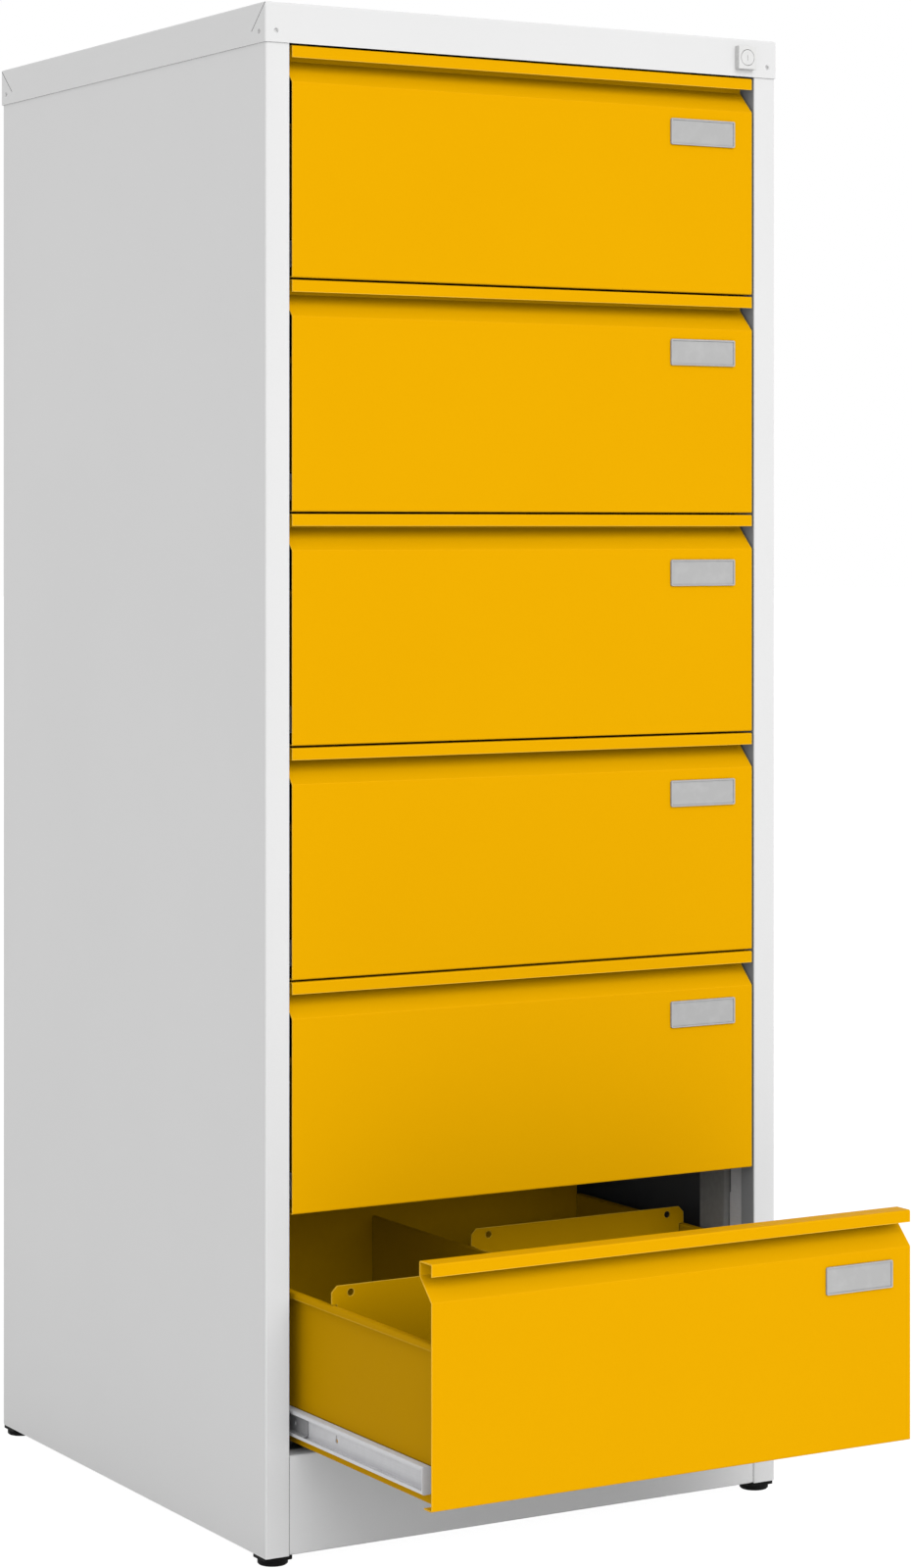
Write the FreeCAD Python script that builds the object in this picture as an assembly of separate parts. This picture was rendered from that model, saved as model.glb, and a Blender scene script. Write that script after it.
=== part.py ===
import FreeCAD, Part
import math
import os

# A free-standing steel card index cabinet: a folded body with a pressed-on lid, drawers that run on
# three-member slides, two rows for cards in each drawer, and one lock that bars every drawer.
# Millimetres. +Z is up, the front faces -Y, and the origin is on the floor under the body's centre.

Vector = FreeCAD.Vector

# Body of the cabinet
body_width = 500.0
body_depth = 530.0
cabinet_sheet = 1.0
cabinet_bend = 0.6
stile_width = 22.0
stile_return = 19.0
rear_flange = 15.0
back_flange = 20.0
back_inset = 1.5
plinth_height = 80.7
plinth_flange = 20.0
plinth_hem = 8.0
plinth_tab = 17.0
plinth_fit = 0.2
plinth_inset = 1.0
lid_flange = 32.4
lid_gap = 1.4
seam_width = 0.9
seam_depth = 0.7
seam_run = 24.5
seam_drop = 22.2
lid_rivet_diameter = 5.0
lid_rivet_sink = 0.1
lid_rivet_length = 3.0
lid_rivet_bore = 4.0
lid_rivet_bore_depth = 2.0
lid_rivet_inset = 8.8
lid_rivet_side_inset = 10.2
lid_rivet_drop = 23.2
rivet_fit = 0.05

# Feet
foot_pad_height = 4.5
foot_pad_diameter = 25.0
foot_plate_height = 3.0
foot_plate_size = 25.0
foot_inset = 0.5
foot_corner = 3.0
foot_edge = 1.0
stud_diameter = 8.0
stud_fit = 0.1
stud_length = 14.0
foot_nut_height = 6.5
foot_nut_width = 13.0

# Drawer fronts
drawer_count = 6
front_height = 187.9
front_gap = 1.8
front_side_gap = 2.1
plinth_gap = 5.1
front_sheet = 1.0
front_bend = 0.5
front_foot = 12.0
grip_drop = 29.9
grip_rise = 18.3
grip_depth = 18.0
grip_lip = 9.8
photo_opening = 226.0

# Drawer trays
slide_thickness = 11.0
tray_sheet = 1.0
tray_bend = 1.0
tray_height = 124.8
tray_rear_space = 33.0
rear_wall_rise = 15.0
rim_width = 7.0
rim_hem = 5.0
tray_fit = 0.2
front_flange = 12.0
front_flange_rise = 6.0
front_flange_top = 8.0
partition_width = 3.0
partition_hem = 8.0
partition_foot = 12.0
catch_height = 8.0
catch_rise = 60.0
catch_sheet = 1.5
catch_foot = 12.0
catch_reach = 9.8

# Card supports
support_sheet = 1.2
support_height = 15.0
support_chamfer = 5.0
support_clearance = 0.3
support_side_gap = 1.1
support_ear = 5.0
support_partition_gap = 0.2
support_notch_start = 2.8
support_notch_width = 6.6
support_notch_depth = 4.0
support_notch_sag = 0.5
support_slope = 17.0
support_corner = 12.0
support_hole_diameter = 6.0
support_hole_inset = 17.3
support_hole_drop = 6.2
left_support_place = 170.0
right_support_place = 324.0

# Label holders
label_width = 66.0
label_height = 22.5
label_drop = 8.8
label_margin = 18.8
label_back = 0.6
label_rim_width = 1.3
label_rim_height = 1.7
label_card = 0.5
label_card_fit = 0.2
label_corner = 1.5

# Slides: the drawer member holds the middle member, which runs on the cabinet member
drawer_travel = 440.0
runner_height = 21.6
runner_width = 8.0
runner_lip = 3.0
runner_sheet = 1.0
runner_bend = 0.6
runner_rise = 20.3
runner_set_back = 16.0
drawer_runner_end = 24.0
middle_runner_start = 100.0
middle_runner_end = 37.0
cabinet_runner_end = 20.2
member_gap = 0.5
lip_gap = 0.4
web_gap = 0.9
outer_pad_gap = 1.5
inner_pad_gap = 1.1
pad_running_gap = 0.2
pad_length = 30.0
pad_end = 2.0
keyhole_place = 165.5
keyhole_drop = 1.7
keyhole_radius = 2.0
keyhole_slot = 2.6
keyhole_slot_width = 1.6
stop_rivet_place = 19.7
stop_rivet_drop = 1.0
stop_rivet_diameter = 3.6
stop_rivet_height = 1.0
stop_rivet_edge = 0.6

# Uprights that carry the slides
upright_face = 43.0
upright_bar_gap = 3.2
upright_rear_inset = 6.8
upright_foot = 12.0
upright_nose = 5.0

# Lock: a plug in a square housing on the lid turns a cam that lifts the lock bar
lock_inset = 32.8
lock_drop = 16.5
housing_width = 18.4
housing_height = 19.9
housing_depth = 5.5
housing_edge = 0.3
plug_head_diameter = 13.2
plug_head_gap = 0.5
plug_head_depth = 4.0
plug_diameter = 9.0
plug_fit = 0.05
sleeve_diameter = 13.0
sleeve_length = 9.0
sleeve_fit = 0.1
lock_nut_width = 17.0
lock_nut_height = 3.0
keyway_width = 0.4
keyway_height = 5.0
keyway_depth = 3.0
cam_sheet = 1.5
cam_radius = 7.0
cam_edge = 3.0
cam_gap = 1.0
cam_start_angle = -45.0
cam_pin_diameter = 4.0
cam_pin_gap = 0.3
cam_pin_end = 2.0
cam_screw_diameter = 6.0
cam_screw_height = 2.0
bar_sheet = 1.2
bar_width = 19.0
bar_gap = 0.4
bar_face_gap = 0.3
bar_side_gap = 0.5
bar_bottom = 30.0
bar_flag_margin = 2.8
bar_flag_gap = 1.2
bar_tab_height = 8.0
bar_tab_gap = 1.0
bar_tab_wall_gap = 7.0
bar_catch_gap = 0.4
bar_notch_height = 26.0
bar_notch_depth = 3.0
bar_notch_drop = 28.0
bar_guide_height = 14.0
bar_guide_length = 34.0
bar_guide_rise = 95.0

# Planes and levels that follow from the sizes
front_y = -body_depth / 2
back_y = body_depth / 2
side_x = body_width / 2
opening_x = side_x - stile_width
wall_x = opening_x - slide_thickness
wall_inner_x = wall_x - tray_sheet
rim_x = wall_inner_x + rim_width
foot_height = foot_pad_height + foot_plate_height
body_bottom = foot_height
front_pitch = front_height + front_gap
lowest_front = body_bottom + plinth_height + plinth_gap
lid_bottom = lowest_front + drawer_count * front_pitch - front_gap + lid_gap
lid_top = lid_bottom + lid_flange
body_top = lid_top - cabinet_sheet
tray_floor = front_sheet + tray_sheet
rim_top = front_sheet + tray_height
tray_start = front_sheet + front_bend + tray_fit
partition_half = partition_width / 2
tray_depth = body_depth - tray_rear_space
grip_sill = front_height - grip_drop
label_bottom = grip_sill - label_drop - label_height
upright_front = stile_return + bar_gap + bar_width + upright_bar_gap

# Slide members, measured outwards from the tray's wall and up from the slide's middle
runner_half = runner_height / 2
middle_back_x = wall_x + runner_sheet + member_gap
middle_web_x = middle_back_x + runner_sheet
middle_edge_x = wall_x + runner_width - runner_sheet - lip_gap
middle_half = runner_half - runner_sheet - outer_pad_gap
cabinet_edge_x = middle_web_x + web_gap
cabinet_half = middle_half - runner_sheet - inner_pad_gap
cabinet_runner_start = upright_front + upright_nose
drawer_runner_length = tray_depth - drawer_runner_end - runner_set_back
middle_runner_length = tray_depth - middle_runner_end - middle_runner_start
cabinet_runner_length = tray_depth - cabinet_runner_end - cabinet_runner_start
upright_rear = cabinet_runner_start + cabinet_runner_length - upright_rear_inset - upright_face
outer_reach = runner_set_back + drawer_runner_length - middle_runner_start - drawer_travel / 2
inner_reach = cabinet_runner_start + drawer_travel / 2 - middle_runner_start

# Lock
lock_x = side_x - lock_inset
lock_z = lid_top - lock_drop
bar_front_y = front_y + stile_return + bar_gap
bar_x = opening_x + bar_face_gap
cam_back_y = front_y + sleeve_length + cam_gap
pin_start_x = lock_x + cam_radius * math.cos(math.radians(cam_start_angle))
pin_start_z = lock_z + cam_radius * math.sin(math.radians(cam_start_angle))


def section_point(plane, a, b, along):
    # Plane x holds Y and Z, plane y holds X and Z, plane z holds X and Y
    if plane == "x":
        return Vector(along, a, b)
    if plane == "y":
        return Vector(a, along, b)
    return Vector(a, b, along)


def plane_normal(plane):
    return {"x": Vector(1, 0, 0), "y": Vector(0, 1, 0), "z": Vector(0, 0, 1)}[plane]


def box(x, y, z):
    # Each of x, y and z is a pair: lowest and highest
    return Part.makeBox(x[1] - x[0], y[1] - y[0], z[1] - z[0], Vector(x[0], y[0], z[0]))


def cylinder(radius, length, base, axis):
    return Part.makeCylinder(radius, length, base, axis)


def unit(dx, dy):
    length = math.hypot(dx, dy)
    return dx / length, dy / length


def sheet_side(points, offset, thickness, bends):
    # One side of a folded sheet: straight runs joined by the arcs of its bends.
    # The sheet lies to the left of the points, and offset says how far this side is from them.
    directions = [unit(q[0] - p[0], q[1] - p[1]) for p, q in zip(points, points[1:])]
    here = (points[0][0] - offset * directions[0][1], points[0][1] + offset * directions[0][0])
    pieces = []
    for index in range(1, len(points) - 1):
        before = directions[index - 1]
        after = directions[index]
        turn = before[0] * after[1] - before[1] * after[0]
        together = before[0] * after[0] + before[1] * after[1]
        share = offset / (1 + together)
        corner_a = points[index][0] - share * (before[1] + after[1])
        corner_b = points[index][1] + share * (before[0] + after[0])
        side = 1 if turn > 0 else -1
        radius = bends[index - 1] + (thickness - offset if side > 0 else offset)
        reach = radius * math.tan(math.acos(together) / 2)
        enter = (corner_a - before[0] * reach, corner_b - before[1] * reach)
        leave = (corner_a + after[0] * reach, corner_b + after[1] * reach)
        centre = (enter[0] - side * radius * before[1], enter[1] + side * radius * before[0])
        out = unit(corner_a - centre[0], corner_b - centre[1])
        middle = (centre[0] + radius * out[0], centre[1] + radius * out[1])
        pieces.append((here, enter))
        pieces.append((enter, middle, leave))
        here = leave
    last = directions[-1]
    end = (points[-1][0] - offset * last[1], points[-1][1] + offset * last[0])
    pieces.append((here, end))
    return pieces


def face_from(pieces, plane, along):
    # A flat face bounded by straight pieces of two points and arcs of three
    edges = []
    for piece in pieces:
        ends = [section_point(plane, a, b, along) for a, b in piece]
        if len(ends) == 3:
            edges.append(Part.Arc(ends[0], ends[1], ends[2]).toShape())
        elif ends[0].distanceToPoint(ends[1]) > 1e-6:
            edges.append(Part.makeLine(ends[0], ends[1]))
    return Part.Face(Part.Wire(edges))


def folded(points, thickness, bend, plane, start, end):
    # A sheet folded along the points and run from start to end across the plane of its section
    bends = bend if isinstance(bend, list) else [bend] * (len(points) - 2)
    near = sheet_side(points, 0.0, thickness, bends)
    far = sheet_side(points, thickness, thickness, bends)
    outline = list(near)
    outline.append((near[-1][-1], far[-1][-1]))
    outline += [tuple(reversed(piece)) for piece in reversed(far)]
    outline.append((far[0][0], near[0][0]))
    return face_from(outline, plane, start).extrude(plane_normal(plane) * (end - start))


def rounded_plate(low, high, radius, plane, start, end):
    # A plate with four round corners
    diagonal = radius * (1 - math.sqrt(0.5))
    corners = [
        ((low[0], low[1] + radius), (low[0] + diagonal, low[1] + diagonal), (low[0] + radius, low[1])),
        ((high[0] - radius, low[1]), (high[0] - diagonal, low[1] + diagonal), (high[0], low[1] + radius)),
        ((high[0], high[1] - radius), (high[0] - diagonal, high[1] - diagonal), (high[0] - radius, high[1])),
        ((low[0] + radius, high[1]), (low[0] + diagonal, high[1] - diagonal), (low[0], high[1] - radius)),
    ]
    pieces = []
    for index, corner in enumerate(corners):
        pieces.append(corner)
        pieces.append((corner[2], corners[(index + 1) % 4][0]))
    return face_from(pieces, plane, start).extrude(plane_normal(plane) * (end - start))


def hexagon(across_flats, centre, axis, height):
    # A nut blank with its flats parallel to the first axis across it
    radius = across_flats / math.sqrt(3)
    first = Vector(1, 0, 0)
    second = axis.cross(first)
    corners = []
    for step in range(7):
        angle = math.radians(60 * step)
        corners.append(centre + first * radius * math.cos(angle) + second * radius * math.sin(angle))
    return Part.Face(Part.makePolygon(corners)).extrude(axis * height)


def both_sides(shape):
    return [shape, shape.mirror(Vector(0, 0, 0), Vector(1, 0, 0))]


def moved(shape, x=0.0, y=0.0, z=0.0):
    copy = shape.copy()
    copy.translate(Vector(x, y, z))
    return copy


def joined(first, *rest):
    return first.fuse(list(rest)).removeSplitter()


def front_bottom(number):
    # Drawer 1 is at the top
    return lowest_front + (drawer_count - number) * front_pitch


def drawer_opening(number):
    # How far a drawer stands open in the rest pose: the lowest one does
    return photo_opening if number == drawer_count else 0.0


def foot_centres():
    reach_x = side_x - foot_inset - foot_plate_size / 2
    reach_y = back_y - foot_inset - foot_plate_size / 2
    return [(x * reach_x, y * reach_y) for x in (-1, 1) for y in (-1, 1)]


def side_panel():
    # The left side: one sheet folded into a stile and its return at the front and a flange at the rear
    left = -side_x
    points = [
        (left + rear_flange, back_y - cabinet_sheet),
        (left, back_y - cabinet_sheet),
        (left, front_y),
        (left + stile_width, front_y),
        (left + stile_width, front_y + stile_return),
    ]
    panel = folded(points, cabinet_sheet, cabinet_bend, "z", body_bottom, body_top)
    ledge_x = (left + cabinet_sheet, left + stile_width - cabinet_sheet)
    ledge_y = (front_y + cabinet_sheet, back_y - 2 * cabinet_sheet)
    bottom_ledge = box(ledge_x, ledge_y, (body_bottom, body_bottom + cabinet_sheet))
    top_ledge = box(ledge_x, ledge_y, (body_top - cabinet_sheet, body_top))
    panel = joined(panel, bottom_ledge, top_ledge)
    for x, y in foot_centres():
        if x < 0:
            hole = cylinder(stud_diameter / 2 + stud_fit, 3 * cabinet_sheet,
                            Vector(x, y, body_bottom - cabinet_sheet), Vector(0, 0, 1))
            panel = panel.cut(hole)
    return panel


def back_panel():
    # The rear sheet lies on the sides' flanges and turns in at the top and bottom between them
    points = [
        (back_y - back_flange, body_bottom),
        (back_y, body_bottom),
        (back_y, body_top),
        (back_y - back_flange, body_top),
    ]
    reach = side_x - stile_width
    middle = folded(points, cabinet_sheet, cabinet_bend, "x", -reach, reach)
    relief = cabinet_sheet + cabinet_bend
    wings = box((-side_x + back_inset, side_x - back_inset), (back_y - cabinet_sheet, back_y),
                (body_bottom + relief, body_top - relief))
    return joined(middle, wings)


def lid_shell(inset, radius):
    # The lid's outside has round upright and top edges, its inside only round upright ones
    x = side_x + cabinet_sheet - inset
    y = back_y + cabinet_sheet - inset
    shell = box((-x, x), (-y, y), (lid_bottom, lid_top - inset))
    edges = [e for e in shell.Edges if e.BoundBox.ZMax > lid_bottom + radius]
    if inset > 0:
        edges = [e for e in edges if e.BoundBox.ZMin < lid_bottom + radius]
    return shell.makeFillet(radius, edges)


def lid_seam(corner_x, corner_y):
    # The groove where the front flange's tab laps the side flange, down from the top corner
    towards_middle = -1 if corner_y > 0 else 1
    flank = corner_x * (side_x + cabinet_sheet)
    start = Vector(flank, corner_y * (back_y + cabinet_sheet), lid_top)
    run = Vector(0, towards_middle * seam_run, -seam_drop)
    along = Vector(run).normalize()
    across = along.cross(Vector(1, 0, 0))
    inward = Vector(-corner_x * seam_depth, 0, 0)
    outward = Vector(corner_x * cabinet_sheet, 0, 0)
    corners = [start - across * seam_width / 2, start + across * seam_width / 2]
    corners += [corners[1] + run, corners[0] + run, corners[0]]
    groove = Part.Face(Part.makePolygon([p + outward for p in corners]))
    return groove.extrude(inward - outward)


def lid_rivet_seats():
    # Place and outward direction of each rivet: two at each corner, one in each flange
    seats = []
    level = lid_top - lid_rivet_drop
    for sx in (-1, 1):
        for sy in (-1, 1):
            across = Vector(sx * (side_x - lid_rivet_inset), sy * (back_y + cabinet_sheet), level)
            seats.append((across, Vector(0, sy, 0)))
            along = Vector(sx * (side_x + cabinet_sheet), sy * (back_y - lid_rivet_side_inset), level)
            seats.append((along, Vector(sx, 0, 0)))
    return seats


def lid_rivets():
    # Hollow rivets: the open end lies in the lid's face and the closed end in the sheet behind
    rivets = []
    for seat, outward in lid_rivet_seats():
        start = seat - outward * lid_rivet_sink
        length = lid_rivet_length - lid_rivet_sink
        rivet = cylinder(lid_rivet_diameter / 2 - rivet_fit, length, start, outward * -1)
        rivets.append(rivet.cut(cylinder(lid_rivet_bore / 2, lid_rivet_bore_depth, start, outward * -1)))
    return rivets


def rivet_holes():
    holes = []
    for seat, outward in lid_rivet_seats():
        start = seat + outward * cabinet_sheet
        length = lid_rivet_length + 2 * cabinet_sheet
        holes.append(cylinder(lid_rivet_diameter / 2, length, start, outward * -1))
    return holes


def lid():
    shell = lid_shell(0.0, cabinet_bend + cabinet_sheet)
    shell = shell.cut(lid_shell(cabinet_sheet, cabinet_bend))
    cuts = rivet_holes()
    cuts += [lid_seam(sx, sy) for sx in (-1, 1) for sy in (-1, 1)]
    cuts.append(cylinder(sleeve_diameter / 2 + sleeve_fit, 3 * cabinet_sheet,
                         Vector(lock_x, front_y - 2 * cabinet_sheet, lock_z), Vector(0, 1, 0)))
    return shell.cut(cuts)


def plinth():
    # The kick plate between the stiles, just behind their faces, turned back at its top and bottom,
    # with an end tab each side
    face = front_y + plinth_inset
    points = [
        (front_y + plinth_flange, body_bottom + plinth_height - plinth_hem),
        (front_y + plinth_flange, body_bottom + plinth_height),
        (face, body_bottom + plinth_height),
        (face, body_bottom),
        (front_y + plinth_flange, body_bottom),
    ]
    reach = opening_x - plinth_fit
    plate = folded(points, cabinet_sheet, cabinet_bend, "x", -reach, reach)
    tab = box((-reach, -reach + cabinet_sheet), (face + cabinet_sheet / 2, front_y + plinth_tab),
              (body_bottom + cabinet_sheet / 2, body_bottom + plinth_height - cabinet_sheet / 2))
    return joined(plate, *both_sides(tab))


def upright(start, nose):
    # A hat section stands on the side's bottom ledge and holds the slides on its face
    near = -side_x + 2 * cabinet_sheet
    face = -opening_x
    low = front_y + start
    high = low + upright_face
    points = [
        (near, low - upright_foot),
        (near, low),
        (face, low),
        (face, high),
        (near, high),
        (near, high + upright_foot),
    ]
    bends = [cabinet_bend, nose, cabinet_bend, cabinet_bend]
    return folded(points, cabinet_sheet, bends, "z", body_bottom + cabinet_sheet,
                  body_top - cabinet_sheet)


def bar_guides():
    # Straps on the right front upright that keep the lock bar in its pocket
    guides = []
    for number in range(1, drawer_count + 1, 2):
        low = front_bottom(number) + bar_guide_rise
        reach = front_y + cabinet_runner_start + cabinet_sheet
        guides.append(box((opening_x - cabinet_sheet, opening_x),
                          (reach + cabinet_sheet - bar_guide_length / 2, reach + bar_guide_length / 2),
                          (low, low + bar_guide_height)))
    return guides


def slide_uprights():
    uprights = both_sides(upright(upright_front, upright_nose))
    uprights += both_sides(upright(upright_rear, cabinet_bend))
    return uprights + bar_guides()


def slide_middle(number):
    return front_bottom(number) + runner_rise


def cabinet_runner(number):
    # The inmost member, fixed to the faces of the two uprights
    points = [
        (-cabinet_edge_x, cabinet_half),
        (-opening_x, cabinet_half),
        (-opening_x, -cabinet_half),
        (-cabinet_edge_x, -cabinet_half),
    ]
    start = front_y + cabinet_runner_start
    member = folded(points, runner_sheet, runner_bend, "y", start, start + cabinet_runner_length)
    return moved(member, z=slide_middle(number))


def middle_runner():
    # The middle member with its nylon pads: outer ones carry the drawer, inner ones ride the cabinet.
    # All of them stay inside the members next to them when the drawer is fully out.
    points = [
        (-middle_edge_x, -middle_half),
        (-middle_back_x, -middle_half),
        (-middle_back_x, middle_half),
        (-middle_edge_x, middle_half),
    ]
    start = front_y + middle_runner_start
    end = start + middle_runner_length
    member = folded(points, runner_sheet, runner_bend, "y", start, end)
    rivet_y = front_y + middle_runner_start + stop_rivet_place
    rivet = cylinder(stop_rivet_diameter / 2, stop_rivet_height + runner_sheet / 2,
                     Vector(-middle_web_x - stop_rivet_height, rivet_y, -stop_rivet_drop), Vector(1, 0, 0))
    rivet = rivet.makeFillet(stop_rivet_edge, [e for e in rivet.Edges if e.BoundBox.XMax < -middle_web_x])
    member = joined(member, rivet)
    pads = []
    pad_x = (-middle_edge_x, -middle_web_x - runner_bend)
    outer_z = (middle_half, runner_half - runner_sheet - pad_running_gap)
    inner_z = (cabinet_half + pad_running_gap, middle_half - runner_sheet)
    outer_starts = (start + pad_end, start + outer_reach - pad_end - pad_length)
    inner_starts = (start + inner_reach + pad_end, end - pad_end - pad_length)
    for starts, z in ((outer_starts, outer_z), (inner_starts, inner_z)):
        for low in starts:
            pads.append(box(pad_x, (low, low + pad_length), z))
            pads.append(box(pad_x, (low, low + pad_length), (-z[1], -z[0])))
    return [member] + pads


def drawer_runner():
    # The outer member on the tray's wall: lipped edges, a closed front end and a keyhole
    edge = wall_x + runner_width
    points = [
        (-edge, -runner_half + runner_lip),
        (-edge, -runner_half),
        (-wall_x, -runner_half),
        (-wall_x, runner_half),
        (-edge, runner_half),
        (-edge, runner_half - runner_lip),
    ]
    start = front_y + runner_set_back
    member = folded(points, runner_sheet, runner_bend, "y", start, start + drawer_runner_length)
    cap = rounded_plate((-edge, -runner_half), (-wall_x, runner_half), runner_sheet + runner_bend,
                        "y", start, start + runner_sheet)
    hole_y = front_y + keyhole_place
    web = (-wall_x - 2 * runner_sheet, -wall_x + runner_sheet)
    hole = cylinder(keyhole_radius, web[1] - web[0], Vector(web[0], hole_y, -keyhole_drop), Vector(1, 0, 0))
    slot = box(web, (hole_y - keyhole_slot_width / 2, hole_y + keyhole_slot_width / 2),
               (-keyhole_drop, keyhole_radius + keyhole_slot - keyhole_drop))
    return joined(member, cap).cut([hole, slot])


def drawer_front():
    # One sheet: bottom flange, panel, sloped recess, web, top flange and the finger lip
    web = front_sheet + grip_depth
    points = [
        (front_foot, front_sheet),
        (front_sheet, front_sheet),
        (front_sheet, grip_sill),
        (web, grip_sill + grip_rise),
        (web, front_height),
        (0.0, front_height),
        (0.0, front_height - grip_lip),
    ]
    placed = [(front_y + y, z) for y, z in points]
    reach = opening_x - front_side_gap
    return folded(placed, front_sheet, front_bend, "x", -reach, reach)


def drawer_tray():
    # Floor, walls and outward rims in one fold, a higher rear wall, and flanges on the front's back
    points = [
        (rim_x, rim_top - rim_hem),
        (rim_x, rim_top),
        (wall_inner_x, rim_top),
        (wall_inner_x, tray_floor),
        (-wall_inner_x, tray_floor),
        (-wall_inner_x, rim_top),
        (-rim_x, rim_top),
        (-rim_x, rim_top - rim_hem),
    ]
    end = front_y + tray_depth
    start = front_y + tray_start
    trough = folded(points, tray_sheet, tray_bend, "y", start, end)
    rear = box((-wall_inner_x, wall_inner_x), (end - tray_sheet, end),
               (tray_floor - tray_sheet / 2, rim_top + rear_wall_rise))
    flange = box((-wall_x, -wall_x + front_flange), (front_y + front_sheet, start),
                 (tray_floor + front_flange_rise, rim_top - front_flange_top))
    return joined(trough, rear, *both_sides(flange))


def lock_catch():
    # An angle on the tray's right wall, just behind the lock bar's tab when the drawer is shut
    low = bar_front_y + bar_sheet + bar_catch_gap
    points = [
        (wall_x + catch_reach, low),
        (wall_x, low),
        (wall_x, low + catch_foot),
    ]
    mirrored = [(-x, y) for x, y in points]
    angle = folded(mirrored, catch_sheet, tray_bend, "z", catch_rise, catch_rise + catch_height)
    return angle.mirror(Vector(0, 0, 0), Vector(1, 0, 0))


def drawer_partition():
    # The wall between the two rows: a hem along its top and a foot on the floor
    points = [
        (partition_half, rim_top - partition_hem),
        (partition_half, rim_top),
        (-partition_half, rim_top),
        (-partition_half, tray_floor),
        (partition_foot, tray_floor),
    ]
    hem_bend = (partition_width - 2 * tray_sheet) / 2
    bends = [hem_bend, hem_bend, tray_bend]
    return folded(points, tray_sheet, bends, "y", front_y + tray_start,
                  front_y + tray_depth - tray_sheet)


def card_support():
    # A plate in the right row: its ears rest on the rim and on half of the partition's hem,
    # and below them its edge slopes from a notch by the partition down to the wall
    ear_z = rim_top + support_clearance
    top_z = ear_z + support_height
    inner_tip = support_partition_gap
    wall_edge = wall_inner_x - support_side_gap
    outer_tip = wall_edge + support_ear
    notch_x = support_notch_start
    slope_x = notch_x + support_notch_width
    slope_z = ear_z - support_notch_depth
    fall = math.tan(math.radians(support_slope))
    corner_x = wall_edge - support_corner
    corner_z = slope_z - fall * (corner_x - slope_x)
    turn = math.radians(90 - support_slope) / 2
    reach = support_corner
    radius = reach / math.tan(turn)
    tip_z = slope_z - fall * (wall_edge - slope_x)
    slant = (math.cos(math.radians(support_slope)), -math.sin(math.radians(support_slope)))
    enter = (wall_edge - reach * slant[0], tip_z - reach * slant[1])
    leave = (wall_edge, tip_z + reach)
    centre = (wall_edge - radius, tip_z + reach)
    out = unit(wall_edge - centre[0], tip_z - centre[1])
    middle = (centre[0] + radius * out[0], centre[1] + radius * out[1])
    chord = unit(support_notch_width, -support_notch_depth)
    notch_middle = ((notch_x + slope_x) / 2 + chord[1] * support_notch_sag,
                    (ear_z + slope_z) / 2 - chord[0] * support_notch_sag)
    pieces = [
        ((inner_tip, ear_z), (inner_tip, top_z - support_chamfer)),
        ((inner_tip, top_z - support_chamfer), (inner_tip + support_chamfer, top_z)),
        ((inner_tip + support_chamfer, top_z), (outer_tip - support_chamfer, top_z)),
        ((outer_tip - support_chamfer, top_z), (outer_tip, top_z - support_chamfer)),
        ((outer_tip, top_z - support_chamfer), (outer_tip, ear_z)),
        ((outer_tip, ear_z), (wall_edge, ear_z)),
        ((wall_edge, ear_z), leave),
        (leave, middle, enter),
        (enter, (slope_x, slope_z)),
        ((slope_x, slope_z), notch_middle, (notch_x, ear_z)),
        ((notch_x, ear_z), (inner_tip, ear_z)),
    ]
    plate = face_from(pieces, "y", 0.0).extrude(Vector(0, support_sheet, 0))
    holes = []
    for x in (inner_tip + support_hole_inset, outer_tip - support_hole_inset):
        base = Vector(x, -support_sheet, top_z - support_hole_drop)
        holes.append(cylinder(support_hole_diameter / 2, 3 * support_sheet, base, Vector(0, 1, 0)))
    return plate.cut(holes)


def label_holder():
    # A frame with a raised rim on the drawer's front, and the blank card in it
    high_x = opening_x - front_side_gap - label_margin
    low_x = high_x - label_width
    low_z = label_bottom
    high_z = low_z + label_height
    face = front_y - label_rim_height
    frame = rounded_plate((low_x, low_z), (high_x, high_z), label_corner, "y", face, front_y)
    pocket = box((low_x + label_rim_width, high_x - label_rim_width),
                 (face - label_back, front_y - label_back),
                 (low_z + label_rim_width, high_z - label_rim_width))
    inset = label_rim_width + label_card_fit
    card = box((low_x + inset, high_x - inset), (front_y - label_back - label_card, front_y - label_back),
               (low_z + inset, high_z - inset))
    return [frame.cut(pocket), card]


def feet():
    # Each foot: a round pad under a square plate, a stud through the side's ledge and its nut
    pieces = []
    half = foot_plate_size / 2
    for x, y in foot_centres():
        base = Vector(x, y, 0)
        pad = cylinder(foot_pad_diameter / 2, foot_pad_height, base, Vector(0, 0, 1))
        pad = pad.makeChamfer(foot_edge, [e for e in pad.Edges if e.BoundBox.ZMax < foot_edge])
        plate = rounded_plate((x - half, y - half), (x + half, y + half), foot_corner, "z",
                              foot_pad_height, foot_height)
        stud = cylinder(stud_diameter / 2, stud_length + foot_plate_height,
                        Vector(x, y, foot_pad_height), Vector(0, 0, 1))
        pieces.append(joined(pad, plate, stud))
        seat = Vector(x, y, body_bottom + cabinet_sheet)
        nut = hexagon(foot_nut_width, seat, Vector(0, 0, 1), foot_nut_height)
        bore = cylinder(stud_diameter / 2 + stud_fit, foot_nut_height, seat, Vector(0, 0, 1))
        pieces.append(nut.cut(bore))
    return pieces


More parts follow.
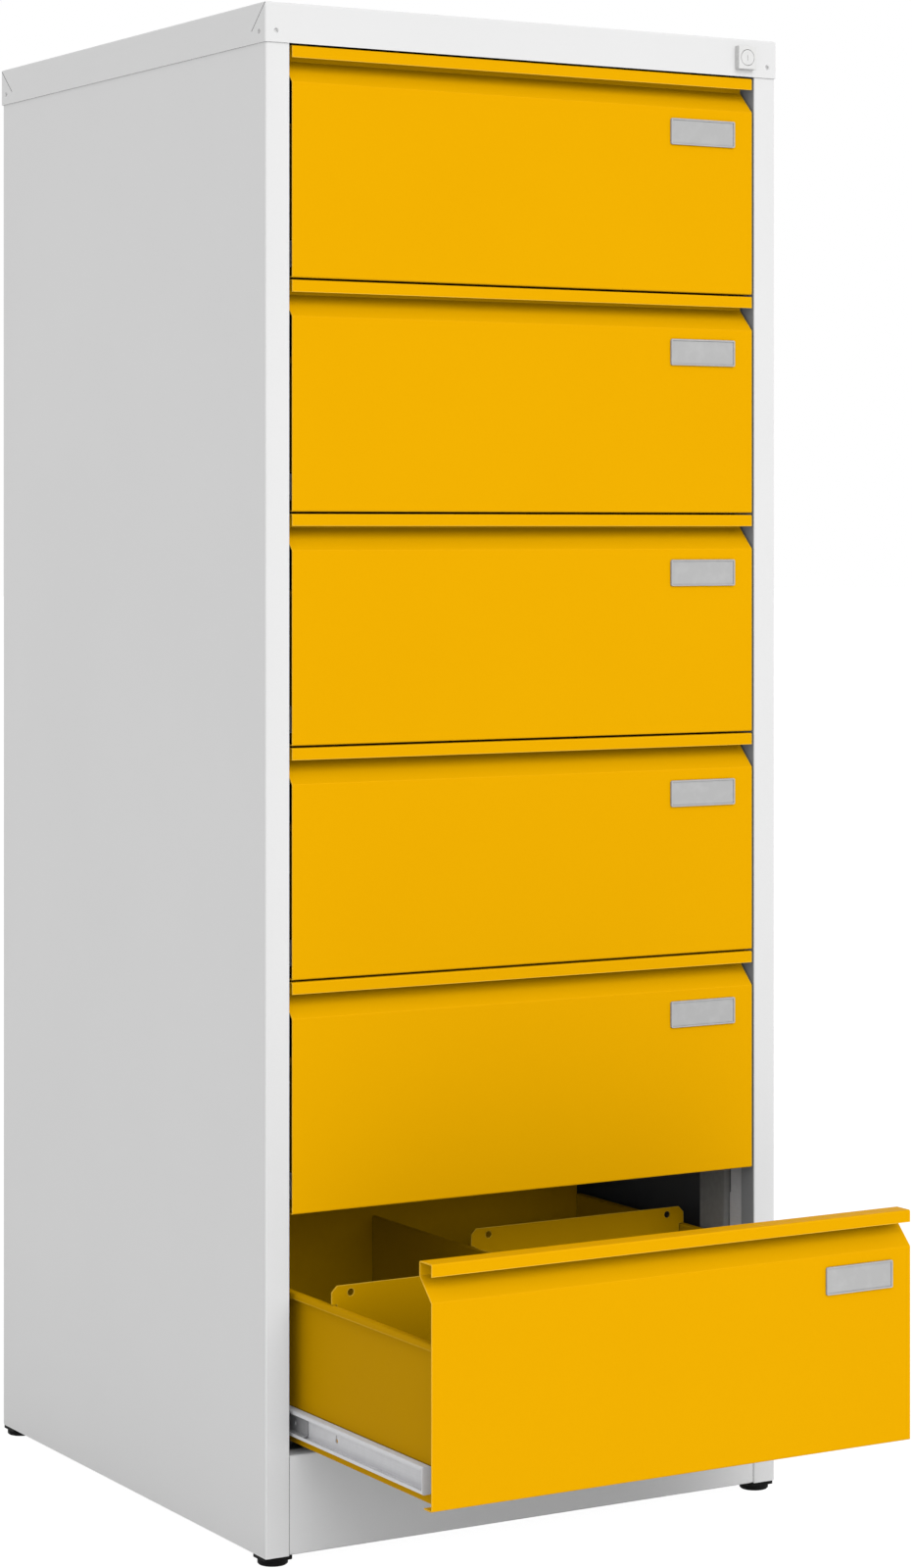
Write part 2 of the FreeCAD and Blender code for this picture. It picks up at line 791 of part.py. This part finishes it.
def lock_housing():
    # The square block on the lid's front flange, its sleeve through the flange, and the nut behind
    face = front_y - cabinet_sheet - housing_depth
    seat = front_y - cabinet_sheet
    half_x = housing_width / 2
    half_z = housing_height / 2
    block = box((lock_x - half_x, lock_x + half_x), (face, seat), (lock_z - half_z, lock_z + half_z))
    block = block.makeFillet(housing_edge, [e for e in block.Edges if e.BoundBox.YMin < seat - housing_edge])
    back = Vector(0, 1, 0)
    sleeve = cylinder(sleeve_diameter / 2, sleeve_length + cabinet_sheet, Vector(lock_x, seat, lock_z), back)
    body = joined(block, sleeve)
    bore = cylinder(plug_diameter / 2 + plug_fit, housing_depth + sleeve_length + 2 * cabinet_sheet,
                    Vector(lock_x, face, lock_z), back)
    recess = cylinder(plug_head_diameter / 2 + plug_head_gap, plug_head_depth,
                      Vector(lock_x, face, lock_z), back)
    nut_seat = Vector(lock_x, front_y, lock_z)
    nut = hexagon(lock_nut_width, nut_seat, back, lock_nut_height)
    nut = nut.cut(cylinder(sleeve_diameter / 2 + sleeve_fit, lock_nut_height, nut_seat, back))
    return [body.cut([bore, recess]), nut]


def lock_plug():
    # The turning plug with its keyway, the cam on its inner end, the cam's pin and screw
    back = Vector(0, 1, 0)
    face = front_y - cabinet_sheet - housing_depth
    head = cylinder(plug_head_diameter / 2, plug_head_depth - plug_fit, Vector(lock_x, face, lock_z), back)
    barrel = cylinder(plug_diameter / 2, cam_back_y - face, Vector(lock_x, face, lock_z), back)
    keyway = box((lock_x - keyway_width / 2, lock_x + keyway_width / 2), (face, face + keyway_depth),
                 (lock_z - keyway_height / 2, lock_z + keyway_height / 2))
    plug = joined(head, barrel).cut(keyway)
    hub = cylinder(plug_diameter / 2, cam_sheet, Vector(lock_x, cam_back_y, lock_z), back)
    tip = cylinder(cam_edge, cam_sheet, Vector(pin_start_x, cam_back_y, pin_start_z), back)
    arm = box((0, cam_radius), (0, cam_sheet), (-cam_edge, cam_edge))
    arm.rotate(Vector(0, 0, 0), Vector(0, 1, 0), -cam_start_angle)
    arm.translate(Vector(lock_x, cam_back_y, lock_z))
    pin_end = bar_front_y + bar_sheet + cam_pin_end
    pin = cylinder(cam_pin_diameter / 2, pin_end - cam_back_y,
                   Vector(pin_start_x, cam_back_y, pin_start_z), back)
    cam = joined(hub, tip, arm, pin)
    screw = cylinder(cam_screw_diameter / 2, cam_screw_height,
                     Vector(lock_x, cam_back_y + cam_sheet, lock_z), back)
    screw = screw.cut(cylinder(cam_pin_diameter / 2 - cam_pin_gap, cam_screw_height,
                               Vector(lock_x, cam_back_y + cam_sheet + cam_screw_height / 2, lock_z), back))
    return [plug, cam, screw.common(screw_clear(back))]


def screw_clear(back):
    # The screw's head is flattened beside the pin that stands next to it
    size = cam_screw_diameter
    keep = box((-size, cam_radius - cam_pin_diameter / 2 - cam_pin_gap), (-size, size), (-size, size))
    keep.rotate(Vector(0, 0, 0), Vector(0, 1, 0), -cam_start_angle)
    keep.translate(Vector(lock_x, cam_back_y, lock_z))
    return keep


def lock_bar():
    # An angle in the pocket behind the right stile, with notches in its rear edge. Welded to its face
    # are a slotted flag for the cam's pin at the top and one tab for each drawer.
    far_y = bar_front_y + bar_width
    deep_x = side_x - 2 * cabinet_sheet - bar_side_gap
    slot_half = cam_pin_diameter / 2 + cam_pin_gap
    flag_low = pin_start_z - slot_half - bar_flag_margin
    flag_high = pin_start_z + slot_half + bar_flag_margin
    low = body_bottom + plinth_height + bar_bottom
    points = [
        (bar_x, bar_front_y),
        (bar_x, far_y),
        (deep_x, far_y),
    ]
    mirrored = [(-x, y) for x, y in points]
    angle = folded(mirrored, bar_sheet, cabinet_bend, "z", low, flag_high)
    angle = angle.mirror(Vector(0, 0, 0), Vector(1, 0, 0))
    front = (bar_front_y, bar_front_y + bar_sheet)
    flag = box((lock_x - bar_flag_gap, bar_x), front, (flag_low, flag_high))
    tabs = []
    notches = []
    for number in range(1, drawer_count + 1):
        top = front_bottom(number) + catch_rise - bar_tab_gap
        tabs.append(box((wall_x + bar_tab_wall_gap, bar_x), front, (top - bar_tab_height, top)))
        notch_low = front_bottom(number) - bar_notch_drop
        notches.append(box((bar_x - bar_sheet, bar_x + 2 * bar_sheet + cabinet_bend),
                           (far_y - bar_notch_depth, far_y + bar_sheet),
                           (notch_low, notch_low + bar_notch_height)))
    slot_low = lock_x + cam_radius * math.cos(math.radians(cam_start_angle)) - slot_half
    slot_high = lock_x + cam_radius + slot_half
    slot = rounded_plate((slot_low, pin_start_z - slot_half), (slot_high, pin_start_z + slot_half),
                         slot_half, "y", front[0] - bar_sheet, front[1] + bar_sheet)
    upper = [notch for notch in notches if notch.BoundBox.ZMin > low]
    return [angle.cut(upper), flag.cut(slot)] + tabs


def build_nodes():
    nodes = {}
    left = side_panel().cut(rivet_holes())
    nodes["left_side"] = [left]
    nodes["right_side"] = [left.mirror(Vector(0, 0, 0), Vector(1, 0, 0))]
    nodes["back_panel"] = [back_panel().cut(rivet_holes())]
    nodes["lid"] = [lid()]
    nodes["plinth"] = [plinth()]
    nodes["slide_uprights"] = slide_uprights()
    nodes["cabinet_runners"] = []
    nodes["lock_housing"] = lock_housing()
    nodes["lock_plug"] = lock_plug()
    nodes["lock_bar"] = lock_bar()
    nodes["feet"] = feet()
    nodes["lid_rivets"] = lid_rivets()
    front = drawer_front()
    tray = [drawer_tray(), lock_catch()]
    partition = drawer_partition()
    support = card_support()
    left_support = support.mirror(Vector(0, 0, 0), Vector(1, 0, 0))
    label = label_holder()
    outer = both_sides(moved(drawer_runner(), z=runner_rise))
    middle = [piece for member in middle_runner() for piece in both_sides(moved(member, z=runner_rise))]
    for number in range(1, drawer_count + 1):
        level = front_bottom(number)
        slid = -drawer_opening(number)
        with_drawer = {
            "drawer_front": [front],
            "drawer_tray": tray,
            "drawer_partition": [partition],
            "card_support_left": [moved(left_support, y=front_y + left_support_place)],
            "card_support_right": [moved(support, y=front_y + right_support_place)],
            "label_holder": label,
            "drawer_runners": outer,
        }
        for name, solids in with_drawer.items():
            nodes["%s_%d" % (name, number)] = [moved(solid, y=slid, z=level) for solid in solids]
        nodes["middle_runners_%d" % number] = [moved(solid, y=slid / 2, z=level) for solid in middle]
        nodes["cabinet_runners"] += both_sides(cabinet_runner(number))
    return nodes


def export(nodes):
    os.makedirs("parts", exist_ok=True)
    for name, solids in nodes.items():
        shape = solids[0] if len(solids) == 1 else Part.makeCompound(solids)
        shape.exportStep(os.path.join("parts", name + ".step"))
        good = all(solid.isValid() and len(solid.Solids) == 1 and solid.Volume > 0 for solid in solids)
        print(name, len(solids), round(shape.Volume), "ok" if good else "CHECK THIS")


export(build_nodes())
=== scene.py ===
import math
import bpy
import numpy as np
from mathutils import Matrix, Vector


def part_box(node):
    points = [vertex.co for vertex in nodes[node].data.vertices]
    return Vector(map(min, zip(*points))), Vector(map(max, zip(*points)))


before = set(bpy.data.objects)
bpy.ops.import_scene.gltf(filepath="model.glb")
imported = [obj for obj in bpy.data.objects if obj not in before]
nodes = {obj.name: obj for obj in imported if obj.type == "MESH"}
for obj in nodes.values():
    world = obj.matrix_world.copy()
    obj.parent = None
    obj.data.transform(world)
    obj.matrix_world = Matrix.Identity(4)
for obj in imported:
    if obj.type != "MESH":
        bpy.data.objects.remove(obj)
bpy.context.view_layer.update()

print("frame loaded:", len(nodes), "nodes")

# What a user would change, one dictionary for each part of the scene
camera = {"place": (-1.6369, -2.9391, 0.83795), "turn": -30.33, "lens": 85.725, "shiftY": -0.16256,
          "sensorWidth": 36.0, "farthest": 100.0}
light = {"skyStrength": 0.6, "floorColour": "#F4F4F4", "floorGlow": 0.85, "floorWhite": 1.15,
         "floorReach": 40, "shadeInset": 0.06}
softboxes = {
    "frontKey": {"strength": 1.3, "from": (0.08, -0.85, 0.52), "angle": 50.0},
    "leftFill": {"strength": 0.2, "from": (-0.95, -0.2, 0.25), "angle": 90.0},
}


def linearColour(hexColour, alpha=1.0):
    # sRGB hex to the linear values that shaders take
    values = np.array([int(hexColour[i:i + 2], 16) for i in (1, 3, 5)]) / 255.0
    linear = np.where(values <= 0.04045, values / 12.92, ((values + 0.055) / 1.055) ** 2.4)
    return (*[float(v) for v in linear], alpha)


def addNode(tree, kind, settings=None, inputs=None):
    # One node with its settings; an input is a plain value or another node's output to link from
    node = tree.nodes.new(kind)
    for name, value in (settings or {}).items():
        setattr(node, name, value)
    for name, value in (inputs or {}).items():
        if isinstance(value, bpy.types.NodeSocket):
            tree.links.new(value, node.inputs[name])
        else:
            node.inputs[name].default_value = value
    return node


def mixColour(tree, share, first, second):
    # A colour between two, which are plain colours or other nodes' outputs
    mix = addNode(tree, "ShaderNodeMix", {"data_type": "RGBA"}, {"Factor": share, 6: first, 7: second})
    return mix.outputs[2]


def seenDirectly(tree):
    # 1 for rays that carry the picture itself, 0 for those that carry soft light
    rays = addNode(tree, "ShaderNodeLightPath")
    share = rays.outputs["Is Camera Ray"]
    for kind in ("Is Glossy Ray", "Is Transmission Ray"):
        share = addNode(tree, "ShaderNodeMath", {"operation": "MAXIMUM"},
                        {0: share, 1: rays.outputs[kind]}).outputs[0]
    return share


def newMaterial(name):
    material = bpy.data.materials.new(name)
    material.use_nodes = True
    material.node_tree.nodes.clear()
    return material, material.node_tree


def edgesAndCorners(tree, radius, depth):
    # Two shares from 0 to 1: how near a point is to an outer fold or raw edge, for a painted highlight, and
    # how deep in a corner, for painted shade
    samples = powderCoat["samples"]
    rounded = addNode(tree, "ShaderNodeBevel", {"samples": samples}, {"Radius": radius})
    flat = addNode(tree, "ShaderNodeNewGeometry")
    turn = addNode(tree, "ShaderNodeVectorMath", {"operation": "DOT_PRODUCT"},
                   {0: rounded.outputs["Normal"], 1: flat.outputs["Normal"]})
    fold = addNode(tree, "ShaderNodeMapRange", None,
                   {"Value": turn.outputs["Value"], "From Min": powderCoat["foldHighlightStarts"],
                    "From Max": powderCoat["foldHighlightFull"]})
    room = addNode(tree, "ShaderNodeAmbientOcclusion", {"samples": samples}, {"Distance": depth})
    opened = addNode(tree, "ShaderNodeMapRange", None,
                     {"Value": room.outputs["AO"], "From Min": powderCoat["openStarts"],
                      "From Max": powderCoat["openFull"]})
    edgeHighlight = addNode(tree, "ShaderNodeMath", {"operation": "MULTIPLY"},
                   {0: fold.outputs["Result"], 1: opened.outputs["Result"]})
    cornerShade = addNode(tree, "ShaderNodeMapRange", None,
                     {"Value": room.outputs["AO"], "From Min": powderCoat["cornerShadeStarts"],
                      "From Max": powderCoat["cornerShadeFull"]})
    return edgeHighlight.outputs[0], cornerShade.outputs["Result"]


powderCoat = {
    "peelSize": 0.0024,       # crest to crest of the orange peel
    "peelHeight": 0.000012,
    "patchSize": 0.16,        # slow change in film thickness
    "gritSize": 0.0007,
    "specular": 0.01,         # a matt-satin skin, so little of the white tent shows in it
    "edgeHighlightRadius": 0.0009,
    "cornerShadeDepth": 0.002,
    "samples": 4,
    "foldHighlightStarts": 0.995,      # how far the rounded and flat normals agree where the painted highlight on a fold starts
    "foldHighlightFull": 0.85,
    "openStarts": 0.7,        # share of open sky where an edge counts as an outer one
    "openFull": 0.95,
    "cornerShadeStarts": 0.72,     # share of open sky where the painted corner shade starts
    "cornerShadeFull": 0.2,
    "driftShare": 0.5,        # how much of the paler tone slow patches and fine grit bring
    "gritShare": 0.35,
    "innerShadeHex": "#6A6A6A",    # painted shade inside the body's shell
    "returnShadeHex": "#A6A6A6",   # painted shade on the stiles' turned-in faces
    "innerMargin": 0.0005,    # below half a sheet's thickness
}


def powderCoatMaterial(name, hexColour, paleHex, edgeHighlightHex, cornerShadeHex, bounceHex, roughness,
                       shadedBoxes=()):
    # Polyester powder, sprayed and baked on sheet steel: one even satin skin with a faint orange peel
    # that breaks up highlights, a film whose tone drifts a little over each sheet, a painted highlight on
    # folds and cut edges, and painted shade down in corners and inside the given boxes
    material, tree = newMaterial(name)
    place = addNode(tree, "ShaderNodeTexCoord")
    peel = addNode(tree, "ShaderNodeTexNoise", None,
                   {"Vector": place.outputs["Object"], "Scale": 1 / powderCoat["peelSize"],
                    "Detail": 1.0, "Roughness": 0.4})
    patch = addNode(tree, "ShaderNodeTexNoise", None,
                    {"Vector": place.outputs["Object"], "Scale": 1 / powderCoat["patchSize"],
                     "Detail": 2.0, "Roughness": 0.5})
    grit = addNode(tree, "ShaderNodeTexNoise", None,
                   {"Vector": place.outputs["Object"], "Scale": 1 / powderCoat["gritSize"], "Detail": 0.0})
    drift = addNode(tree, "ShaderNodeMapRange", None,
                    {"Value": patch.outputs["Fac"], "From Min": 0.3, "From Max": 0.7,
                     "To Min": 0.0, "To Max": powderCoat["driftShare"]})
    speck = addNode(tree, "ShaderNodeMapRange", None,
                    {"Value": grit.outputs["Fac"], "From Min": 0.35, "From Max": 0.65,
                     "To Min": 0.0, "To Max": powderCoat["gritShare"]})
    blend = addNode(tree, "ShaderNodeMath", {"operation": "ADD"},
                    {0: drift.outputs["Result"], 1: speck.outputs["Result"]})
    colour = mixColour(tree, blend.outputs[0], linearColour(hexColour), linearColour(paleHex))
    edgeHighlight, cornerShade = edgesAndCorners(tree, powderCoat["edgeHighlightRadius"], powderCoat["cornerShadeDepth"])
    # Painted highlight: outer folds and cut edges take a paler colour
    colour = mixColour(tree, edgeHighlight, colour, linearColour(edgeHighlightHex))
    # Painted shade: points deep in corners and creases take a darker colour
    colour = mixColour(tree, cornerShade, colour, linearColour(cornerShadeHex))
    # Painted shade: points inside each box take that box's darker grey
    for space, shadeHex in shadedBoxes:
        inside = insideShare(tree, place, space, powderCoat["innerMargin"])
        colour = mixColour(tree, inside, colour, linearColour(shadeHex))
    # What one coated sheet throws on the next is kept grey, so shaded folds keep the coat's own hue
    rays = addNode(tree, "ShaderNodeLightPath")
    seen = mixColour(tree, rays.outputs["Is Diffuse Ray"], colour, linearColour(bounceHex))
    gloss = addNode(tree, "ShaderNodeMapRange", None,
                    {"Value": patch.outputs["Fac"], "From Min": 0.3, "From Max": 0.7,
                     "To Min": roughness - 0.04, "To Max": roughness + 0.05})
    bump = addNode(tree, "ShaderNodeBump", None,
                   {"Height": peel.outputs["Fac"], "Strength": 1.0, "Distance": powderCoat["peelHeight"]})
    skin = addNode(tree, "ShaderNodeBsdfPrincipled", None,
                   {"Base Color": seen, "Roughness": gloss.outputs["Result"],
                    "IOR": 1.5, "Specular IOR Level": powderCoat["specular"],
                    "Normal": bump.outputs["Normal"]})
    addNode(tree, "ShaderNodeOutputMaterial", None, {"Surface": skin.outputs["BSDF"]})
    return material


def insideShare(tree, place, box, margin):
    # 1 for points deeper inside the box than the margin, 0 on its faces; the box is its two corners
    parts = addNode(tree, "ShaderNodeSeparateXYZ", None, {"Vector": place.outputs["Object"]})
    share = None
    for axis, low, high in zip("XYZ", box[0], box[1]):
        above = addNode(tree, "ShaderNodeMath", {"operation": "GREATER_THAN"},
                        {0: parts.outputs[axis], 1: low + margin})
        below = addNode(tree, "ShaderNodeMath", {"operation": "LESS_THAN"},
                        {0: parts.outputs[axis], 1: high - margin})
        both = addNode(tree, "ShaderNodeMath", {"operation": "MULTIPLY"},
                       {0: above.outputs[0], 1: below.outputs[0]})
        if share:
            both = addNode(tree, "ShaderNodeMath", {"operation": "MULTIPLY"}, {0: share, 1: both.outputs[0]})
        share = both.outputs[0]
    return share


zincPlate = {"streakWidth": 0.0009, "streakLength": 0.12, "streakHeight": 0.000003, "spangle": 0.006}


def zincPlateMaterial(name, hexColour, darkHex, roughness, metallic, axis):
    # Cold-rolled strip, bright zinc plated after forming: a pale metal with fine rolling streaks
    # along the strip, and a thin cloudy film on top
    material, tree = newMaterial(name)
    place = addNode(tree, "ShaderNodeTexCoord")
    scale = [1 / zincPlate["streakWidth"]] * 3
    scale[axis] = 1 / zincPlate["streakLength"]
    stretch = addNode(tree, "ShaderNodeMapping", None,
                      {"Vector": place.outputs["Object"], "Scale": scale})
    streak = addNode(tree, "ShaderNodeTexNoise", None,
                     {"Vector": stretch.outputs["Vector"], "Scale": 1.0, "Detail": 2.0})
    cloud = addNode(tree, "ShaderNodeTexNoise", None,
                    {"Vector": place.outputs["Object"], "Scale": 1 / zincPlate["spangle"], "Detail": 2.0})
    amount = addNode(tree, "ShaderNodeMath", {"operation": "MULTIPLY"},
                     {0: streak.outputs["Fac"], 1: cloud.outputs["Fac"]})
    tone = addNode(tree, "ShaderNodeMapRange", None,
                   {"Value": amount.outputs[0], "From Min": 0.15, "From Max": 0.38})
    colour = mixColour(tree, tone.outputs["Result"], linearColour(darkHex), linearColour(hexColour))
    gloss = addNode(tree, "ShaderNodeMapRange", None,
                    {"Value": streak.outputs["Fac"], "From Min": 0.3, "From Max": 0.7,
                     "To Min": roughness - 0.06, "To Max": roughness + 0.08})
    bump = addNode(tree, "ShaderNodeBump", None,
                   {"Height": streak.outputs["Fac"], "Strength": 1.0, "Distance": zincPlate["streakHeight"]})
    metal = addNode(tree, "ShaderNodeBsdfPrincipled", None,
                    {"Base Color": colour, "Roughness": gloss.outputs["Result"],
                     "Metallic": metallic, "Normal": bump.outputs["Normal"]})
    addNode(tree, "ShaderNodeOutputMaterial", None, {"Surface": metal.outputs["BSDF"]})
    return material


mouldedPlastic = {"grain": 0.0008, "grainHeight": 0.00002, "rubsPerMetre": 90.0}


def mouldedPlasticMaterial(name, hexColour, paleHex, roughness, specular=0.5):
    # Injection moulded plastic: the mould's fine spark grain, a little lighter where it is rubbed
    material, tree = newMaterial(name)
    place = addNode(tree, "ShaderNodeTexCoord")
    grain = addNode(tree, "ShaderNodeTexNoise", None,
                    {"Vector": place.outputs["Object"], "Scale": 1 / mouldedPlastic["grain"], "Detail": 2.0})
    rub = addNode(tree, "ShaderNodeTexNoise", None,
                  {"Vector": place.outputs["Object"], "Scale": mouldedPlastic["rubsPerMetre"],
                   "Detail": 3.0})
    worn = addNode(tree, "ShaderNodeMapRange", None,
                   {"Value": rub.outputs["Fac"], "From Min": 0.45, "From Max": 0.75})
    colour = mixColour(tree, worn.outputs["Result"], linearColour(hexColour), linearColour(paleHex))
    bump = addNode(tree, "ShaderNodeBump", None,
                   {"Height": grain.outputs["Fac"], "Strength": 1.0,
                    "Distance": mouldedPlastic["grainHeight"]})
    body = addNode(tree, "ShaderNodeBsdfPrincipled", None,
                   {"Base Color": colour, "Roughness": roughness, "IOR": 1.49,
                    "Specular IOR Level": specular, "Normal": bump.outputs["Normal"]})
    addNode(tree, "ShaderNodeOutputMaterial", None, {"Surface": body.outputs["BSDF"]})
    return material


# Where painted shade darkens the body's white coat: on the stiles' returns, as deep as a stile, and in the
# shell behind
stile = {"width": 0.022, "depth": 0.021, "sheet": 0.001}
sideLow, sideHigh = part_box("left_side")[0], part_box("right_side")[1]
plinthTop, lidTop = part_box("plinth")[1][2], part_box("lid")[1][2]
shell = ((sideLow[0], sideLow[1] + stile["depth"], -1.0), (sideHigh[0], sideHigh[1], lidTop))
returns = ((sideLow[0] + stile["width"] - stile["sheet"], sideLow[1], plinthTop),
           (sideHigh[0] - stile["width"] + stile["sheet"], sideLow[1] + stile["depth"], lidTop))
shadedBoxes = ((returns, powderCoat["returnShadeHex"]), (shell, powderCoat["innerShadeHex"]))
finishes = {
    # Each coat: own colour, pale tone, painted edge highlight, painted corner shade, grey of the bounce,
    # roughness
    "whitePowderCoat": powderCoatMaterial("whitePowderCoat", "#E9E9E9", "#ECECEC", "#FAFAFA", "#8C8C8C",
                                          "#B4B4B4", 0.42, shadedBoxes),
    "yellowPowderCoat": powderCoatMaterial("yellowPowderCoat", "#EFAE00", "#F1B100", "#FFD65A", "#6B4E00",
                                           "#8E8E8E", 0.42),
    # A darker copy of the yellow coat, painted shade for the trays, partitions and card supports
    "shadedYellowPowderCoat": powderCoatMaterial("shadedYellowPowderCoat", "#C99500", "#CD9900", "#F2CF55", "#5A4200",
                                          "#C8C8C8", 0.45),
    "zincPlatedStrip": zincPlateMaterial("zincPlatedStrip", "#E6E6E8", "#E0E0E2", 0.45, 0.05, 1),
    # A darker copy of the zinc strip, painted shade for the middle runners
    "shadedZincStrip": zincPlateMaterial("shadedZincStrip", "#ACACAE", "#A4A4A6", 0.4, 0.05, 1),
    "galvanisedSheet": zincPlateMaterial("galvanisedSheet", "#9FA09F", "#949594", 0.5, 0.05, 2),
    "whiteRivet": mouldedPlasticMaterial("whiteRivet", "#E6E6E6", "#EEEEEE", 0.4),
    "whiteAbs": mouldedPlasticMaterial("whiteAbs", "#E4E4E3", "#E8E8E7", 0.35, 0.12),
    "blackPolyamide": mouldedPlasticMaterial("blackPolyamide", "#0B0B0B", "#161616", 0.6, 0.1),
    "greyAbs": mouldedPlasticMaterial("greyAbs", "#B5B5B5", "#BCBCBC", 0.4),
}
print("materials made:", len(finishes))

# Which finish each CAD node wears, by the start of its name
worn = {
    "left_side": "whitePowderCoat", "right_side": "whitePowderCoat", "back_panel": "whitePowderCoat",
    "lid_rivets": "whiteRivet", "lid": "whitePowderCoat", "plinth": "whitePowderCoat",
    "slide_uprights": "galvanisedSheet", "cabinet_runners": "zincPlatedStrip",
    "lock_housing": "whiteAbs", "lock_plug": "whiteAbs", "lock_bar": "zincPlatedStrip",
    "feet": "blackPolyamide", "drawer_front": "yellowPowderCoat", "drawer_tray": "shadedYellowPowderCoat",
    "drawer_partition": "shadedYellowPowderCoat", "card_support": "shadedYellowPowderCoat",
    "label_holder": "greyAbs", "drawer_runners": "zincPlatedStrip", "middle_runners": "shadedZincStrip",
}
for name, obj in nodes.items():
    finish = next(worn[start] for start in worn if name.startswith(start))
    obj.data.materials.clear()
    obj.data.materials.append(finishes[finish])
print("finishes given to the nodes")

# Floor: white to the camera apart from the object's soft shadow
floorMesh = bpy.data.meshes.new("studioFloor")
reach = light["floorReach"]
floorMesh.from_pydata([(-reach, -reach, 0), (reach, -reach, 0), (reach, reach, 0), (-reach, reach, 0)],
                      [], [(0, 1, 2, 3)])
floor = bpy.data.objects.new("studioFloor", floorMesh)
bpy.context.scene.collection.objects.link(floor)
floorMaterial, floorTree = newMaterial("studioPaper")
glow = addNode(floorTree, "ShaderNodeEmission", None,
               {"Color": (1, 1, 1, 1), "Strength": light["floorWhite"]})
paper = addNode(floorTree, "ShaderNodeBsdfDiffuse", None, {"Color": linearColour(light["floorColour"])})
# No glow under the cabinet, where the floor is dark behind the plinth
floorPlace = addNode(floorTree, "ShaderNodeTexCoord")
footprint = ((sideLow[0], sideLow[1], -1.0), (sideHigh[0], sideHigh[1], 1.0))
covered = insideShare(floorTree, floorPlace, footprint, light["shadeInset"])
bare = addNode(floorTree, "ShaderNodeMath", {"operation": "SUBTRACT"}, {0: 1.0, 1: covered})
seen = addNode(floorTree, "ShaderNodeMath", {"operation": "MULTIPLY"},
               {0: seenDirectly(floorTree), 1: bare.outputs[0]})
share = addNode(floorTree, "ShaderNodeMath", {"operation": "MULTIPLY"},
                {0: seen.outputs[0], 1: light["floorGlow"]})
mixed = addNode(floorTree, "ShaderNodeMixShader", None,
                {"Fac": share.outputs[0], 1: paper.outputs["BSDF"], 2: glow.outputs["Emission"]})
addNode(floorTree, "ShaderNodeOutputMaterial", None, {"Surface": mixed.outputs["Shader"]})
floorMesh.materials.append(floorMaterial)

# World: an even studio tent that lights at skyStrength and looks plain white
world = bpy.data.worlds.new("studioTent")
world.use_nodes = True
worldTree = world.node_tree
worldTree.nodes.clear()
lit = addNode(worldTree, "ShaderNodeBackground", None,
              {"Color": (1, 1, 1, 1), "Strength": light["skyStrength"]})
plain = addNode(worldTree, "ShaderNodeBackground", None, {"Color": (1, 1, 1, 1), "Strength": 1.0})
tent = addNode(worldTree, "ShaderNodeMixShader", None,
               {"Fac": seenDirectly(worldTree), 1: lit.outputs["Background"], 2: plain.outputs["Background"]})
addNode(worldTree, "ShaderNodeOutputWorld", None, {"Surface": tent.outputs["Shader"]})
bpy.context.scene.world = world

for name, softbox in softboxes.items():
    lamp = bpy.data.lights.new(name, "SUN")
    lamp.energy = softbox["strength"]
    lamp.angle = math.radians(softbox["angle"])
    lampObject = bpy.data.objects.new(name, lamp)
    bpy.context.scene.collection.objects.link(lampObject)
    lampObject.rotation_mode = "QUATERNION"
    lampObject.rotation_quaternion = Vector(softbox["from"]).to_track_quat("Z", "Y")

cameraData = bpy.data.cameras.new("photoCamera")
cameraData.lens = camera["lens"]
cameraData.sensor_width = camera["sensorWidth"]
cameraData.shift_y = camera["shiftY"]
cameraData.clip_end = camera["farthest"]
cameraObject = bpy.data.objects.new("photoCamera", cameraData)
bpy.context.scene.collection.objects.link(cameraObject)
cameraObject.location = camera["place"]
cameraObject.rotation_euler = (math.radians(90), 0, math.radians(camera["turn"]))
bpy.context.scene.camera = cameraObject
bpy.context.scene.view_settings.view_transform = "Standard"
print("camera and light set")
